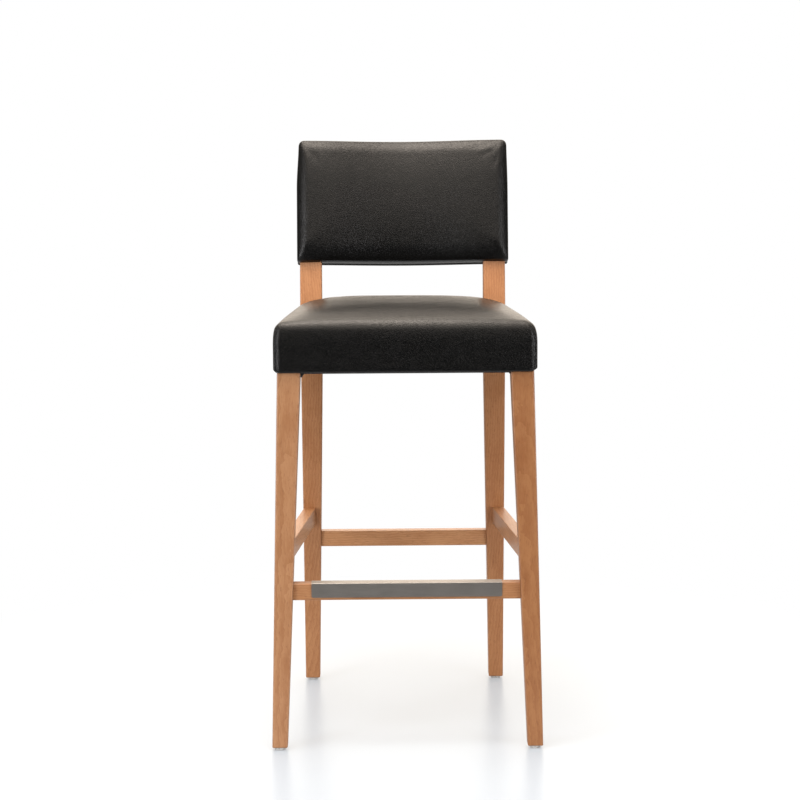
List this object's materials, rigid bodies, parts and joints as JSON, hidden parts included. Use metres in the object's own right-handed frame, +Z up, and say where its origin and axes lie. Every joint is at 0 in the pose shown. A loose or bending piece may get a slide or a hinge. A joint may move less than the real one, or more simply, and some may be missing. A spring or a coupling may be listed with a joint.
{
  "type": "bar stool",
  "caption": "Bar-height stool: a splayed beech frame with stretchers, a steel-capped footrest, and a leather seat and low curved back.",
  "frame": {"origin": "on the floor, in the middle of the rectangle that the stool covers", "axes": "+Z up; the stool faces -Y; left is the side of -X, right is the side of +X"},
  "size_m": [0.494, 0.527, 1.1004],
  "materials": {
    "beech": "steamed beech with a satin lacquer",
    "timber": "unfinished beech blocks and birch plywood, out of sight",
    "leather": "black leather with a fine pebble grain and a soft sheen",
    "foam": "cut polyurethane foam, out of sight",
    "lining": "black spunbond dust lining",
    "steel": "stainless steel, brushed along its length",
    "zinc": "zinc-plated steel, dull",
    "nylon": "natural nylon, matte"
  },
  "bodies": {
    "root": {"front_leg_left": "beech", "front_leg_right": "beech", "rear_leg_left": "beech", "rear_leg_right": "beech", "footrest_rail": "beech", "rear_stretcher": "beech", "side_stretcher_left": "beech", "side_stretcher_right": "beech", "seat_rail_front": "beech", "seat_rail_rear": "beech", "seat_rail_left": "beech", "seat_rail_right": "beech", "back_rail_top": "beech", "back_rail_bottom": "beech", "corner_block_front_left": "timber", "corner_block_front_right": "timber", "corner_block_rear_left": "timber", "corner_block_rear_right": "timber", "seat_board": "timber", "back_board": "timber", "seat_cover": "leather", "back_cover": "leather", "outside_back": "leather", "seat_foam": "foam", "back_foam": "foam", "seat_lining": "lining", "kick_plate": "steel", "kick_plate_screw_left": "steel", "kick_plate_screw_middle": "steel", "kick_plate_screw_right": "steel", "corner_screw_front_left": "zinc", "corner_screw_front_right": "zinc", "corner_screw_rear_left": "zinc", "corner_screw_rear_right": "zinc", "seat_board_screw_front_left": "zinc", "seat_board_screw_front_right": "zinc", "seat_board_screw_rear_left": "zinc", "seat_board_screw_rear_right": "zinc", "glide_nail_front_left": "zinc", "glide_nail_front_right": "zinc", "glide_nail_rear_left": "zinc", "glide_nail_rear_right": "zinc", "glide_front_left": "nylon", "glide_front_right": "nylon", "glide_rear_left": "nylon", "glide_rear_right": "nylon"}
  },
  "joints": []
}
